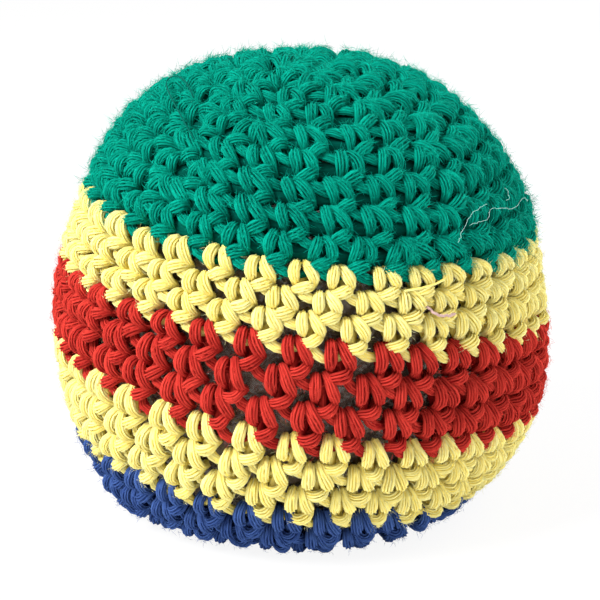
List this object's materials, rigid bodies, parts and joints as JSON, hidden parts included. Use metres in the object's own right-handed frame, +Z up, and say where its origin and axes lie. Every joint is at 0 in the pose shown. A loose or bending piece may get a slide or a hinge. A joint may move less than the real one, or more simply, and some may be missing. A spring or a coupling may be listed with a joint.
{
  "type": "juggling ball",
  "caption": "Crocheted beanbag juggling ball in green, yellow, red and blue bands, with a film liner full of loose pellets and a flattened base.",
  "frame": {"origin": "middle of the flattened base, on the surface that the ball rests on", "axes": "+Z up the ball's axis, from the blue base to the green crown; +Y towards the back, where one yarn follows another"},
  "size_m": [0.065, 0.065, 0.0598],
  "materials": {
    "green_yarn": "soft cotton yarn, slightly fuzzy",
    "yellow_yarn": "soft cotton yarn, slightly fuzzy",
    "red_yarn": "soft cotton yarn, slightly fuzzy",
    "blue_yarn": "soft cotton yarn, slightly fuzzy",
    "clear_film": "clear wrinkled film",
    "tie_thread": "plain thread",
    "pellets": "small dark plastic pellets"
  },
  "bodies": {
    "root": {"green_crown": "green_yarn", "upper_yellow_band": "yellow_yarn", "red_band": "red_yarn", "lower_yellow_band": "yellow_yarn", "blue_base": "blue_yarn", "film_liner": "clear_film", "liner_tie": "tie_thread", "pellet_fill": "pellets", "green_start_knot": "green_yarn", "green_yellow_knot": "yellow_yarn", "yellow_red_knot": "red_yarn", "red_yellow_knot": "yellow_yarn", "yellow_blue_knot": "blue_yarn", "blue_end_knot": "blue_yarn"}
  },
  "joints": []
}
